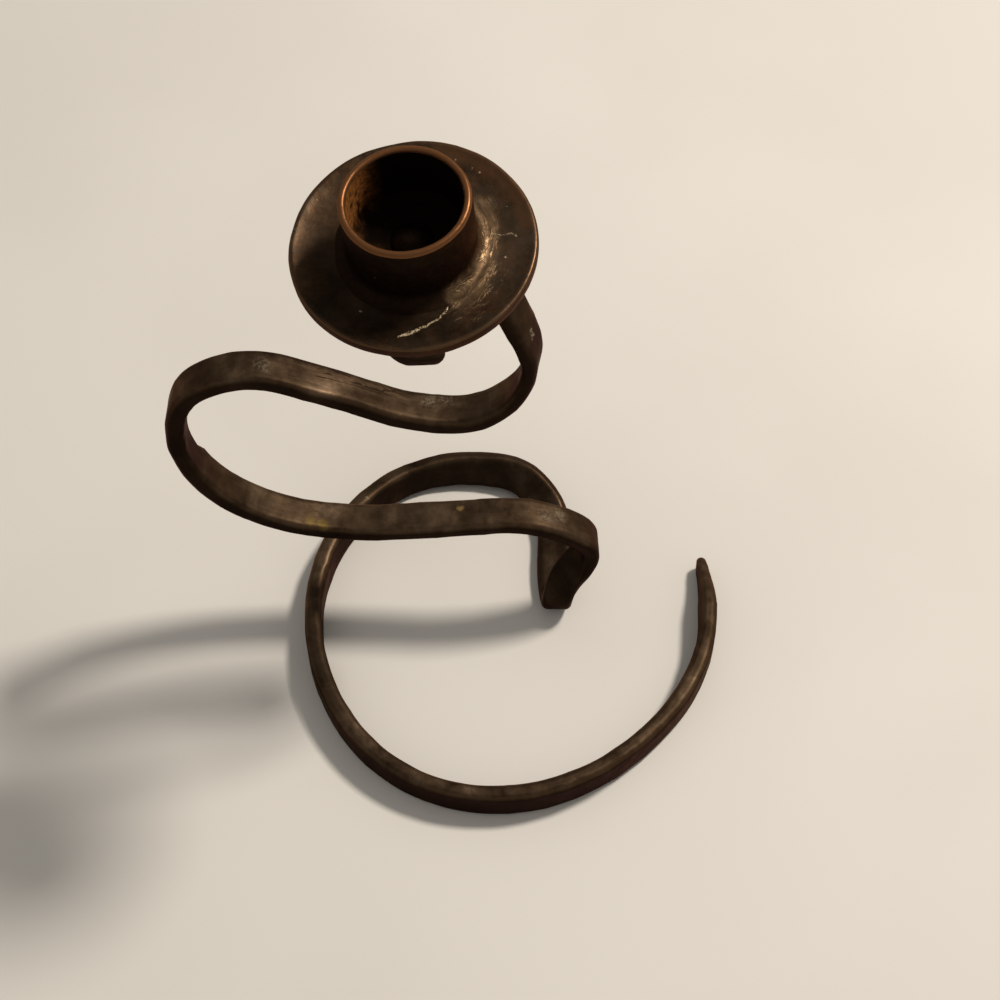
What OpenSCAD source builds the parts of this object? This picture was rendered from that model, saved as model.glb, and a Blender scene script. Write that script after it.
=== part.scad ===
// Hand forged candle holder: one flat iron bar is drawn out to a tail, coiled
// into an open foot ring, folded back and forth as a stem and flattened to a
// tongue. A drip pan and a candle socket are riveted to the tongue.
// Millimetres, +Z up. The origin is the middle of the bounding box at the table.

/* [Bar] */
// Width of the flat bar
bar_w = 9.75; // [7.5:0.25:10.5]
// Thickness of the bar along the stem
bar_t = 5; // [3.6:0.1:5.4]
// Thickness of the bar round the foot ring
ring_t = 4.8; // [3.2:0.1:5.2]
// Width of the bar up the neck
neck_w = 9.1; // [8:0.1:10.5]
// Thickness of the bar round the upper right bend and up the neck
neck_t = 4.1; // [3.4:0.1:5]
// Width of the bar where it folds up at the foot
foot_w = 8; // [6.5:0.25:9.5]
// Radius worn on the long edges of the bar
edge_r = 1.1; // [0.6:0.1:1.4]

/* [Foot ring] */
// Mean diameter of the foot ring along the middle of the bar
ring_d = 102.5; // [92:0.5:112]
// How far the hammered ring is drawn out of round
ring_oval = 0.6; // [0:0.1:2]
// Direction in which the ring is drawn out
oval_angle = 29; // [0:1:90]
// Depth of the three slight lobes that the hammer left in the ring
ring_lobe = 1.2; // [0:0.1:2]
// Direction of the first lobe
lobe_angle = 14; // [0:1:60]
// Lean of the ring at the back, where it starts to turn over
back_lean = 12; // [0:1:18]
// Where the tail ends, counted from +X
tail_angle = 20; // [10:1:36]
// How far the tail's end is bent outwards
tail_flare = 2.1; // [0:0.1:3]
// Length of the drawn out taper at the tail
taper_len = 14; // [10:1:40]
// Width left at the point of the tail
tip_w = 5.2; // [3:0.2:7]
// Thickness left at the point of the tail
tip_t = 3; // [1.6:0.1:4]
// Distance of the foot from the ring's middle towards +X
foot_x = 12.8; // [8:0.2:16]
// Distance of the foot from the ring's middle towards +Y
foot_y = 5.5; // [2:0.5:8]

/* [Stem] */
// Distance of the stem behind the ring's middle
stem_y = 11.5; // [8.5:0.5:13.5]
// Height of the lower run
lower_run_z = 33; // [29:0.5:37]
// Height of the upper run's crest near the left bend
crest_z = 95; // [88:0.5:100]
// Fall of the upper run from its crest towards the right
upper_fall = 17; // [12:0.5:20]
// Reach of the left bend from the ring's middle
left_reach = 77.8; // [72:0.2:86]
// Reach of the lower right bend from the ring's middle
low_right_reach = 22; // [18:0.5:25]
// Reach of the upper right bend from the ring's middle
up_right_reach = 4.6; // [1:0.2:7]

/* [Seat of the pan] */
// Height of the seat above the table
seat_z = 145.5; // [140:0.5:152]
// Distance of the seat from the ring's middle towards -X
seat_left = 19; // [16:0.2:24]
// Distance of the seat behind the ring's middle
seat_back = 1.8; // [-1:0.2:3]
// Lean of the seat to the front
seat_tilt = 8.4; // [6:0.2:14]
// Lean of the seat to the left
seat_lean = 3.8; // [0:0.2:6]
// Width of the tongue
tongue_w = 12.5; // [9:0.5:13]
// Thickness of the tongue
tongue_t = 4.2; // [3.4:0.2:5]
// Reach of the tongue in front of the rivet
tongue_front = 24.5; // [18:0.5:26]
// Reach of the tongue behind the rivet
tongue_back = 8; // [6.5:0.5:10]

/* [Drip pan] */
// Diameter of the drip pan
pan_d = 49.8; // [44:0.2:56]
// Thickness of the pan's plate
pan_t = 1.6; // [1.2:0.1:2.2]
// Height of the pan's rim above its floor
pan_rise = 1.4; // [0.8:0.1:2.4]
// Diameter of the pan's flat floor
pan_floor_d = 34; // [31:0.5:37]

/* [Candle socket] */
// Bore that the candle stands in
socket_bore = 22.5; // [19:0.1:24]
// Wall of the socket
socket_wall = 1.7; // [1.2:0.1:2.2]
// Height of the socket over its floor's underside
socket_h = 16; // [14:0.2:24]
// Thickness of the socket's floor
socket_floor = 2; // [1.5:0.1:2.6]
// Radius inside the socket between its floor and its wall
socket_corner_r = 2.4; // [1.6:0.1:3]
// Radius of the flare at the socket's foot
flare_r = 2.6; // [1.4:0.1:3.2]

/* [Rivet] */
// Diameter of the rivet's shank
rivet_d = 5; // [4:0.1:6]
// Diameter of the domed heads
rivet_head_d = 9; // [7.5:0.25:10.5]
// Height of the domed heads
rivet_head_h = 2; // [1.4:0.1:2.6]
// Gap round the shank in its holes
rivet_gap = 0.05; // [0.03:0.01:0.1]

/* [Hidden] */

ring_r = ring_d / 2;
corner_steps = 2;
span_steps = 6;
ring_step = 15;
ring_end = -246;
lean_start = -185;
tiny = 0.1;

// Part of the way from one value to another.
function mix(a, b, u) = a + (b - a) * u;
function clamp(u) = max(0, min(1, u));
function smooth(u) = u * u * (3 - 2 * u);
function unit(v) = v / norm(v);

// A station is [centre, direction of the wide side, width, thickness].
// Height of the bar's centre when it leans by a and touches the table.
function rest_z(a, w, t) = (w / 2 - edge_r) * cos(a) + (t / 2 - edge_r) * sin(a) + edge_r;

// A station on the table: plan position, direction the top leans to, lean, width, thickness.
function table_station(x, y, out, a, w, t) =
    [[x, y, rest_z(a, w, t)], [out[0] * sin(a), out[1] * sin(a), cos(a)], w, t];

// The tail is drawn out evenly over taper_len and keeps standing on the table.
function taper_at(a) = clamp((tail_angle - a) * PI / 180 * ring_r / taper_len);
function ring_station(a) = let (
        u = taper_at(a),
        r = ring_r + ring_oval * cos(2 * (a - oval_angle)) + ring_lobe * cos(3 * (a - lobe_angle))
            + tail_flare * pow(1 - u, 4),
        lean = back_lean * clamp((lean_start - a) / (lean_start - ring_end)))
    table_station(r * cos(a), r * sin(a), [cos(a), sin(a)], lean,
        mix(tip_w, bar_w, sin(90 * u)), mix(tip_t, ring_t, sin(90 * u)));

ring_stations = [for (k = [0 : floor((tail_angle - ring_end) / ring_step)])
    ring_station(tail_angle - k * ring_step)];

// The bar leans over from the ring until it lies flat at the foot.
inner_stations = [
    table_station(ring_r * -0.135, ring_r * 0.925, [-0.15, 0.98], 26, bar_w, ring_t),
    table_station(ring_r * 0.07, ring_r * 0.875, [0.2, 0.97], 44, bar_w, ring_t),
    table_station(foot_x * 0.76, ring_r * 0.74, [0.72, 0.69], 62, bar_w, mix(ring_t, bar_t, 0.4)),
    table_station(foot_x, mix(foot_y, ring_r, 0.5), [0.98, 0.2], 80, bar_w, mix(ring_t, bar_t, 0.8)),
    table_station(foot_x - 0.2, foot_y + 14, [1, 0.05], 88, bar_w, bar_t),
    table_station(foot_x - 0.2, foot_y + 6.5, [1, 0], 90, bar_w, bar_t)];

// The foot bends up and twists a quarter turn into the lower right bend.
rise_stations = [
    [[foot_x, foot_y + 1.2, bar_t * 0.62], [1, 0, 0], foot_w, bar_t],
    [[foot_x + 0.2, foot_y - 1.2, bar_t * 1.35], [1, -0.05, 0], foot_w, bar_t],
    [[mix(foot_x, low_right_reach, 0.18), mix(foot_y, stem_y, 0.2), lower_run_z * 0.37],
        [0.85, -0.5, 0], mix(foot_w, bar_w, 0.6), bar_t],
    [[mix(foot_x, low_right_reach, 0.62), mix(foot_y, stem_y, 0.75), lower_run_z * 0.5],
        [0.35, -0.93, 0], bar_w, bar_t]];

// The stem folds back and forth in an upright plane, with its wide side level.
function stem_station(x, z, t = bar_t) = [[x, stem_y, z], [0, -1, 0], bar_w, t];
trough_z = crest_z - upper_fall;
stem_stations = [
    stem_station(low_right_reach - 0.8, lower_run_z - 11),
    stem_station(low_right_reach - 3.2, lower_run_z - 5.6),
    stem_station(low_right_reach - 8.6, lower_run_z - 1.2),
    stem_station(low_right_reach - 17, lower_run_z + 2.4),
    stem_station(low_right_reach - 36, lower_run_z + 1.4),
    stem_station(-left_reach + 38, lower_run_z),
    stem_station(-left_reach + 22, lower_run_z + 4),
    stem_station(-left_reach + 11.2, mix(lower_run_z, crest_z, 0.185)),
    stem_station(-left_reach + 3.5, mix(lower_run_z, crest_z, 0.37)),
    stem_station(-left_reach, mix(lower_run_z, crest_z, 0.63)),
    stem_station(-left_reach + 5.4, mix(lower_run_z, crest_z, 0.895)),
    stem_station(-left_reach + 19, crest_z),
    stem_station(-left_reach + 37, mix(crest_z, trough_z, 0.38)),
    stem_station(-left_reach + 58, mix(crest_z, trough_z, 0.93)),
    stem_station(up_right_reach - 13, trough_z + 1),
    stem_station(up_right_reach - 4.2, trough_z + 7.8, neck_t),
    [[up_right_reach, stem_y, trough_z + 17], [-0.16, -1, 0], neck_w, neck_t]];

// The seat is a leaning plane: its own x is +X, its own z is the pan's axis.
seat_pos = [-seat_left, seat_back, seat_z];
function tilted(v) = [v[0], v[1] * cos(seat_tilt) - v[2] * sin(seat_tilt),
    v[1] * sin(seat_tilt) + v[2] * cos(seat_tilt)];
function leaned(v) = [v[0] * cos(seat_lean) - v[2] * sin(seat_lean), v[1],
    v[0] * sin(seat_lean) + v[2] * cos(seat_lean)];
function seat_dir(v) = leaned(tilted(v));
function seat_point(v) = seat_pos + seat_dir(v);

// The bar climbs behind the pan, twists the other quarter turn and runs into the tongue.
function buried_station(y) = [seat_point([0, y, -tongue_t / 2 - tiny]), seat_dir([-1, 0, 0]),
    tongue_w - 2 * tiny, tongue_t - 2 * tiny];
neck_stations = [
    [[mix(up_right_reach, -seat_left, 0.205), stem_y + 0.5, mix(trough_z, seat_z, 0.58)],
        [-0.5, -0.8, -0.1], neck_w, neck_t],
    [seat_point([seat_left * 0.36, tongue_back + 6, -13.5]), [-0.85, -0.5, -0.5], neck_w, neck_t],
    [seat_point([1.2, tongue_back + 3, -tongue_t - 1]), seat_dir([-1, -0.1, 0]),
        mix(bar_w, tongue_w, 0.7), tongue_t],
    buried_station(tongue_back - edge_r - tiny),
    buried_station(rivet_d / 2 + 1)];

STATIONS = concat(ring_stations, inner_stations, rise_stations, stem_stations, neck_stations);
last = len(STATIONS) - 1;

// Spans between stations and the slope of the route at each station.
function span(i) = norm(STATIONS[i + 1][0] - STATIONS[i][0]);
SPANS = [for (i = [0 : last - 1]) span(i)];
function slope(i, k) =
    i == 0 ? (STATIONS[1][k] - STATIONS[0][k]) / SPANS[0] :
    i == last ? (STATIONS[last][k] - STATIONS[last - 1][k]) / SPANS[last - 1] :
    ((STATIONS[i][k] - STATIONS[i - 1][k]) / SPANS[i - 1] * SPANS[i]
        + (STATIONS[i + 1][k] - STATIONS[i][k]) / SPANS[i] * SPANS[i - 1]) / (SPANS[i - 1] + SPANS[i]);

// Cubic curve through the stations, and its direction.
function along(i, u) = let (h = SPANS[i])
    STATIONS[i][0] * (1 + 2 * u) * (1 - u) * (1 - u) + slope(i, 0) * h * u * (1 - u) * (1 - u)
    + STATIONS[i + 1][0] * u * u * (3 - 2 * u) - slope(i + 1, 0) * h * u * u * (1 - u);
function heading(i, u) = let (h = SPANS[i]) unit(
    (STATIONS[i + 1][0] - STATIONS[i][0]) * 6 * u * (1 - u)
    + slope(i, 0) * h * (1 - u) * (1 - 3 * u) - slope(i + 1, 0) * h * u * (2 - 3 * u));

// Outline of the bar's section: a rectangle with rounded corners.
function section(w, t) = [for (q = [0 : 3], s = [0 : corner_steps]) let (
        a = 90 * q + 90 * s / corner_steps,
        sx = (q == 0 || q == 3) ? 1 : -1,
        sy = q < 2 ? 1 : -1,
        r = min(edge_r, w / 2.2, t / 2.2))
    [sx * (w / 2 - r) + r * cos(a), sy * (t / 2 - r) + r * sin(a)]];

function hanging_ring(i, u) = let (
        c = along(i, u),
        d = heading(i, u),
        v = mix(STATIONS[i][1], STATIONS[i + 1][1], smooth(u)),
        wide = unit(v - d * (v * d)),
        flat = cross(d, wide),
        w = mix(STATIONS[i][2], STATIONS[i + 1][2], u),
        t = mix(STATIONS[i][3], STATIONS[i + 1][3], u))
    [for (p = section(w, t)) c + wide * p[0] + flat * p[1]];

// The foot ring rests on the table all along, and nothing dips below it.
table_spans = len(ring_stations) + len(inner_stations) - 1;
function ring_points(i, u) = let (
        r = hanging_ring(i, u),
        low = min([for (p = r) p[2]]),
        lift = i < table_spans ? -low : max(0, -low))
    [for (p = r) p + [0, 0, lift]];

RINGS = concat(
    [for (i = [0 : last - 1], k = [0 : span_steps - 1]) ring_points(i, k / span_steps)],
    [ring_points(last - 1, 1)]);
sides = len(RINGS[0]);
BAR_POINTS = [for (r = RINGS, p = r) p];
BAR_FACES = concat(
    [[for (k = [0 : sides - 1]) k]],
    [[for (k = [sides - 1 : -1 : 0]) (len(RINGS) - 1) * sides + k]],
    [for (i = [0 : len(RINGS) - 2], k = [0 : sides - 1]) let (n = (k + 1) % sides)
        each [[i * sides + k, (i + 1) * sides + k, (i + 1) * sides + n],
            [i * sides + k, (i + 1) * sides + n, i * sides + n]]]);

// The drawing's origin is moved to the middle of the bounding box, at the table.
box_x = [min([for (p = BAR_POINTS) p[0]]), max([for (p = BAR_POINTS) p[0]])];
box_y = [min([for (p = BAR_POINTS) p[1]]), max([for (p = BAR_POINTS) p[1]])];
origin = [(box_x[0] + box_x[1]) / 2, (box_y[0] + box_y[1]) / 2, 0];

module on_seat() translate(seat_pos) rotate([seat_tilt, -seat_lean, 0]) children();

module rivet_hole(low, high) translate([0, 0, low - 1])
    cylinder(d = rivet_d + 2 * rivet_gap, h = high - low + 2, $fn = 48);

// The hammer left the tongue's right front corner fuller than its left one.
right_corner_r = tongue_w * 0.18;
left_corner_r = tongue_w * 0.48;
module tongue_corner(side, r)
    translate([side * (tongue_w / 2 - r), -tongue_front + r]) circle(r, $fn = 48);

module tongue() difference() {
    translate([0, 0, -tongue_t]) linear_extrude(tongue_t) hull() {
        tongue_corner(1, right_corner_r);
        tongue_corner(-1, left_corner_r);
        translate([-tongue_w / 2, 0]) square([tongue_w, tongue_back]);
    }
    rivet_hole(-tongue_t, 0);
}

module forged_bar() color([0.20, 0.15, 0.11]) translate(-origin) {
    polyhedron(BAR_POINTS, BAR_FACES, convexity = 10);
    on_seat() tongue();
}

// Half section of the pan: a flat floor, a dished margin and a rounded upstanding rim.
module pan_profile() {
    fillet_w = 1.5;
    fillet_h = pan_rise * 0.35;
    half = pan_d / 2;
    top = pan_t + pan_rise;
    round_r = pan_t / 2;
    polygon(concat(
        [[0, 0]],
        [for (a = [-90 : 15 : 0]) [half - round_r + round_r * cos(a), round_r + round_r * sin(a)]],
        [for (a = [0 : 15 : 180]) [half - round_r + round_r * cos(a), top - round_r + round_r * sin(a)]],
        [[half - pan_t - fillet_w, pan_t + fillet_h], [pan_floor_d / 2, pan_t], [0, pan_t]]));
}

module drip_pan() color([0.22, 0.16, 0.12]) translate(-origin) on_seat() difference() {
    rotate_extrude($fn = 96) pan_profile();
    rivet_hole(0, pan_t);
}

// Half section of the socket: floor, inner corner, flared foot, straight wall and rounded lip.
module socket_profile() {
    r = socket_bore / 2;
    outer = r + socket_wall;
    lip_r = socket_wall / 2;
    corner = socket_corner_r;
    polygon(concat(
        [[0, 0], [outer + flare_r, 0]],
        [for (a = [0 : 10 : 90]) [outer + flare_r - flare_r * sin(a), flare_r - flare_r * cos(a)]],
        [for (a = [0 : 15 : 180]) [r + lip_r + lip_r * cos(a), socket_h - lip_r + lip_r * sin(a)]],
        [for (a = [0 : 15 : 90]) [r - corner + corner * cos(a), socket_floor + corner - corner * sin(a)]],
        [[0, socket_floor]]));
}

module candle_socket() color([0.24, 0.15, 0.10]) translate(-origin) on_seat()
    translate([0, 0, pan_t]) difference() {
        rotate_extrude($fn = 96) socket_profile();
        rivet_hole(0, socket_floor);
    }

// A low dome: the part of a ball above its flat side.
module dome() {
    ball_r = (rivet_head_d * rivet_head_d / 4 + rivet_head_h * rivet_head_h) / (2 * rivet_head_h);
    intersection() {
        translate([0, 0, rivet_head_h - ball_r]) sphere(r = ball_r, $fn = 64);
        cylinder(d = rivet_head_d, h = rivet_head_h, $fn = 64);
    }
}

module rivet() color([0.17, 0.13, 0.11]) translate(-origin) on_seat() {
    translate([0, 0, -tongue_t]) cylinder(d = rivet_d, h = tongue_t + pan_t + socket_floor, $fn = 48);
    translate([0, 0, pan_t + socket_floor]) dome();
    translate([0, 0, -tongue_t]) mirror([0, 0, 1]) dome();
}

forged_bar();
drip_pan();
candle_socket();
rivet();
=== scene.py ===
import math
from functools import partialmethod, reduce
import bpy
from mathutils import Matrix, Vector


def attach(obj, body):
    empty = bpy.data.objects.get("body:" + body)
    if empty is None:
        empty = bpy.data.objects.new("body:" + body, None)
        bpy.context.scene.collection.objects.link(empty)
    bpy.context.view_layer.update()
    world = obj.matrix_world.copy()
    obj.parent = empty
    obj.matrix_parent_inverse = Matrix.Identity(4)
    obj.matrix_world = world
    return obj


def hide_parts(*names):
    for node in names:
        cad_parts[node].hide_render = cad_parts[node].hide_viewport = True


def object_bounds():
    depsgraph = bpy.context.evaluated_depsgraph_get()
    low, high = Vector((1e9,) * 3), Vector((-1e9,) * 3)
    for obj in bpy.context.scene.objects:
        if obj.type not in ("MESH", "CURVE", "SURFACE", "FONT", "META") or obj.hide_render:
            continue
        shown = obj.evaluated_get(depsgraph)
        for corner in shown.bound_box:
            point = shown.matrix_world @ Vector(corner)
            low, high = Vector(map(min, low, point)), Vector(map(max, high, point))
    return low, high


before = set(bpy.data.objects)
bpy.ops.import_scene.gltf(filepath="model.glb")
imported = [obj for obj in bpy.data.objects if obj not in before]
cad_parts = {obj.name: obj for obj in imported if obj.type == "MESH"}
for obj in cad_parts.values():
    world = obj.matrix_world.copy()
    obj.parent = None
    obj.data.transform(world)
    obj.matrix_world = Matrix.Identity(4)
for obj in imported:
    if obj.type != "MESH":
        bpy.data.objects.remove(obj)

from inspect import signature

import bpy
import numpy as np
from mathutils import Matrix, Vector

cad_low, cad_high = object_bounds()
MM = 0.001

# Sizes of the forged bar, in millimetres and degrees: as in the construction, and its edges worn rounder
BAR_W = 9.75
BAR_T = 5.0
RING_T = 4.8
NECK_W = 9.1
NECK_T = 4.1
FOOT_W = 8.0
EDGE_R = 1.1
WORN_EDGE_R = 1.9
RING_D = 102.5
RING_OVAL = 0.6
OVAL_ANGLE = 29.0
RING_LOBE = 1.2
LOBE_ANGLE = 14.0
BACK_LEAN = 12.0
LEAN_START = -185.0
RING_END = -246.0
RING_STEP = 15.0
RING_STATIONS = 18
TABLE_SPANS = 23
TAIL_ANGLE = 20.0
TAIL_FLARE = 2.1
TAPER_LEN = 14.0
TIP_W = 5.2
TIP_T = 3.0
TAIL_R = 1.4
FOOT_X = 12.8
FOOT_Y = 5.5
STEM_Y = 11.5
LOWER_RUN_Z = 33.0
CREST_Z = 95.0
UPPER_FALL = 17.0
LEFT_REACH = 77.8
LOW_RIGHT_REACH = 22.0
UP_RIGHT_REACH = 4.6

# Sizes of the seat, the pan, the socket and the rivet, in millimetres
SEAT = (-19.0, 1.8, 145.5)
SEAT_TILT = math.radians(8.4)
SEAT_LEAN = math.radians(3.8)
TONGUE_W = 12.5
TONGUE_T = 4.2
TONGUE_FRONT = 24.5
TONGUE_BACK = 8.0
RIGHT_CORNER_R = TONGUE_W * 0.18
LEFT_CORNER_R = TONGUE_W * 0.48
PAN_D = 49.8
PAN_T = 1.6
PAN_RISE = 1.4
PAN_FLOOR_D = 34.0
SOCKET_BORE = 22.5
SOCKET_WALL = 1.7
SOCKET_H = 16.0
SOCKET_FLOOR = 2.0
SOCKET_CORNER_R = 2.4
FLARE_R = 2.6
FOOT_R = SOCKET_BORE / 2 + SOCKET_WALL + FLARE_R
RIVET_D = 5.0
RIVET_HEAD_D = 9.0
RIVET_HEAD_H = 2.0

# Where the pan's dish meets its round rim and where the socket's flare ends, in degrees, how the dish rises,
# and how the socket's foot runs out just under the pan's surface
RIM_MEETS_DISH = 130
FLARE_END = 262
DISH_CURVE = 2.4
FOOT_RUN_OUT = 0.9
FOOT_SUNK = 0.12

# A nick in the back edge of the left bend: the bar is narrower above it
NICK_X = -70.0
NICK_Z = 60.0
NICK_DEPTH = 1.1
NICK_FADE = 26.0

# Steps along the bar and along a turned profile, how far the bar's small corners are softened, and how its
# end sections shrink to close it
ROUTE_STEP = 0.5
SPAN_SAMPLES = 80
SOFTEN = 3.2
PROFILE_STEP = 0.42
CAP_SHARES = (0.72, 0.44, 0.16, 0.002)


# The route of the bar

def mix(a, b, u):
    return a + (b - a) * u


def clamp(u):
    return max(0.0, min(1.0, u))


def unit(v):
    return v / max(np.linalg.norm(v), 1e-9)


def rest_height(lean, w, t):
    """Height of the bar's centre when it leans and touches the table."""
    return (w / 2 - EDGE_R) * math.cos(lean) + (t / 2 - EDGE_R) * math.sin(lean) + EDGE_R


def table_station(x, y, out, lean_degrees, w, t):
    a = math.radians(lean_degrees)
    wide = (out[0] * math.sin(a), out[1] * math.sin(a), math.cos(a))
    return ((x, y, rest_height(a, w, t)), wide, w, t)


def ring_station(degrees):
    a = math.radians(degrees)
    r = (RING_D / 2 + RING_OVAL * math.cos(2 * math.radians(degrees - OVAL_ANGLE))
         + RING_LOBE * math.cos(3 * math.radians(degrees - LOBE_ANGLE)))
    taper = clamp(math.radians(TAIL_ANGLE - degrees) * RING_D / 2 / TAPER_LEN)
    r += TAIL_FLARE * (1 - taper) ** 4
    lean = BACK_LEAN * clamp((LEAN_START - degrees) / (LEAN_START - RING_END))
    swell = math.sin(math.pi / 2 * taper)
    return table_station(r * math.cos(a), r * math.sin(a), (math.cos(a), math.sin(a)), lean,
                         mix(TIP_W, BAR_W, swell), mix(TIP_T, RING_T, swell))


def stem_station(x, z, t=BAR_T):
    return ((x, STEM_Y, z), (0, -1, 0), BAR_W, t)


SEAT_TURN = Matrix.Rotation(-SEAT_LEAN, 3, "Y") @ Matrix.Rotation(SEAT_TILT, 3, "X")


def seat_dir(v):
    return tuple(SEAT_TURN @ Vector(v))


def seat_point(v):
    return tuple(Vector(SEAT) + SEAT_TURN @ Vector(v))


def bar_stations():
    """Stations of the bar from tail to tongue: centre, wide direction, width and thickness."""
    ring_r = RING_D / 2
    low, crest, trough = LOWER_RUN_Z, CREST_Z, CREST_Z - UPPER_FALL
    right, left, top_right = LOW_RIGHT_REACH, -LEFT_REACH, UP_RIGHT_REACH
    stations = [ring_station(TAIL_ANGLE - RING_STEP * k) for k in range(RING_STATIONS)]
    stations += [
        table_station(ring_r * -0.135, ring_r * 0.925, (-0.15, 0.98), 26, BAR_W, RING_T),
        table_station(ring_r * 0.07, ring_r * 0.875, (0.2, 0.97), 44, BAR_W, RING_T),
        table_station(FOOT_X * 0.76, ring_r * 0.74, (0.72, 0.69), 62, BAR_W,
                      mix(RING_T, BAR_T, 0.4)),
        table_station(FOOT_X, mix(FOOT_Y, ring_r, 0.5), (0.98, 0.2), 80, BAR_W,
                      mix(RING_T, BAR_T, 0.8)),
        table_station(FOOT_X - 0.2, FOOT_Y + 14, (1, 0.05), 88, BAR_W, BAR_T),
        table_station(FOOT_X - 0.2, FOOT_Y + 6.5, (1, 0), 90, BAR_W, BAR_T),
        ((FOOT_X, FOOT_Y + 1.2, BAR_T * 0.62), (1, 0, 0), FOOT_W, BAR_T),
        ((FOOT_X + 0.2, FOOT_Y - 1.2, BAR_T * 1.35), (1, -0.05, 0), FOOT_W, BAR_T),
        ((mix(FOOT_X, right, 0.18), mix(FOOT_Y, STEM_Y, 0.2), low * 0.37), (0.85, -0.5, 0),
         mix(FOOT_W, BAR_W, 0.6), BAR_T),
        ((mix(FOOT_X, right, 0.62), mix(FOOT_Y, STEM_Y, 0.75), low * 0.5), (0.35, -0.93, 0),
         BAR_W, BAR_T),
        stem_station(right - 0.8, low - 11),
        stem_station(right - 3.2, low - 5.6),
        stem_station(right - 8.6, low - 1.2),
        stem_station(right - 17, low + 2.4),
        stem_station(right - 36, low + 1.4),
        stem_station(left + 38, low),
        stem_station(left + 22, low + 4),
        stem_station(left + 11.2, mix(low, crest, 0.185)),
        stem_station(left + 3.5, mix(low, crest, 0.37)),
        stem_station(left, mix(low, crest, 0.63)),
        stem_station(left + 5.4, mix(low, crest, 0.895)),
        stem_station(left + 19, crest),
        stem_station(left + 37, mix(crest, trough, 0.38)),
        stem_station(left + 58, mix(crest, trough, 0.93)),
        stem_station(top_right - 13, trough + 1),
        stem_station(top_right - 4.2, trough + 7.8, NECK_T),
        ((top_right, STEM_Y, trough + 17), (-0.16, -1, 0), NECK_W, NECK_T),
        ((mix(top_right, SEAT[0], 0.205), STEM_Y + 0.5, mix(trough, SEAT[2], 0.58)),
         (-0.5, -0.8, -0.1), NECK_W, NECK_T),
        (seat_point((-SEAT[0] * 0.36, TONGUE_BACK + 6, -13.5)), (-0.85, -0.5, -0.5), NECK_W, NECK_T),
        (seat_point((1.2, TONGUE_BACK + 3, -TONGUE_T - 1)), seat_dir((-1, -0.1, 0)),
         mix(BAR_W, TONGUE_W, 0.7), TONGUE_T)]
    stations += [(seat_point((0, y, -TONGUE_T / 2)), seat_dir((-1, 0, 0)), TONGUE_W, TONGUE_T)
                 for y in (TONGUE_BACK - EDGE_R, RIVET_D / 2 + 1, -TONGUE_FRONT / 2, -TONGUE_FRONT)]
    return stations


def bar_route():
    """The bar in even steps: centre, wide and flat directions, half sizes and length so far, in mm."""
    stations = bar_stations()
    at = np.array([s[0] for s in stations], float)
    wide = np.array([s[1] for s in stations], float)
    size = np.array([s[2:] for s in stations], float)
    spans = np.linalg.norm(np.diff(at, axis=0), axis=1)
    steps = np.diff(at, axis=0) / spans[:, None]
    slope = np.empty_like(at)
    slope[0], slope[-1] = steps[0], steps[-1]
    before, after = spans[:-1, None], spans[1:, None]
    slope[1:-1] = (steps[:-1] * after + steps[1:] * before) / (before + after)
    centres, wides, sizes = [], [], []
    for i, h in enumerate(spans):
        for u in np.linspace(0, 1, SPAN_SAMPLES, endpoint=i == len(spans) - 1):
            centres.append(at[i] * (1 + 2 * u) * (1 - u) ** 2 + slope[i] * h * u * (1 - u) ** 2
                           + at[i + 1] * u * u * (3 - 2 * u) - slope[i + 1] * h * u * u * (1 - u))
            heading = unit((at[i + 1] - at[i]) * 6 * u * (1 - u) + slope[i] * h * (1 - u) * (1 - 3 * u)
                           - slope[i + 1] * h * u * (2 - 3 * u))
            leaning = mix(wide[i], wide[i + 1], u * u * (3 - 2 * u))
            wides.append(unit(leaning - heading * (leaning @ heading)))
            sizes.append(mix(size[i], size[i + 1], u) / 2)
    centres, wides, sizes = map(np.array, (centres, wides, sizes))
    along = np.concatenate([[0], np.cumsum(np.linalg.norm(np.diff(centres, axis=0), axis=1))])
    even = np.linspace(0, along[-1], int(along[-1] / ROUTE_STEP))
    centres = softened(evenly(centres, along, even))
    wides = softened(evenly(wides, along, even))
    sizes = softened(evenly(sizes, along, even))
    headings = np.gradient(centres, axis=0)
    headings /= np.linalg.norm(headings, axis=1)[:, None]
    wides -= headings * (wides * headings).sum(axis=1)[:, None]
    wides /= np.linalg.norm(wides, axis=1)[:, None]
    flats = np.cross(headings, wides)
    low = centres[:, 2] - reach(wides, flats, sizes)[:, 2]
    on_table = even < along[TABLE_SPANS * SPAN_SAMPLES]
    centres[:, 2] += np.where(on_table, -low, np.maximum(-low, 0))
    return centres, wides, flats, sizes, even


def evenly(values, along, even):
    """The rows of values, read at even steps of length."""
    return np.column_stack([np.interp(even, along, column) for column in values.T])


def softened(values):
    """Takes the small corners out of a row of values; both ends and the wide bends stay where they are."""
    reach_out = int(3 * SOFTEN / ROUTE_STEP)
    weights = np.exp(-0.5 * (np.arange(-reach_out, reach_out + 1) * ROUTE_STEP / SOFTEN) ** 2)
    weights /= weights.sum()

    def smooth(rows):
        before = 2 * rows[0] - rows[reach_out:0:-1]
        after = 2 * rows[-1] - rows[-2:-reach_out - 2:-1]
        wider = np.concatenate([before, rows, after])
        return np.column_stack([np.convolve(column, weights, mode="valid") for column in wider.T])

    once = smooth(values)
    return 2 * once - smooth(once)


def reach(wides, flats, sizes):
    """How far the rounded section reaches from its centre along X, Y and Z."""
    return (np.abs(wides) * (sizes[:, :1] - EDGE_R) + np.abs(flats) * (sizes[:, 1:] - EDGE_R)) + EDGE_R


# Small helpers for node trees

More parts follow.
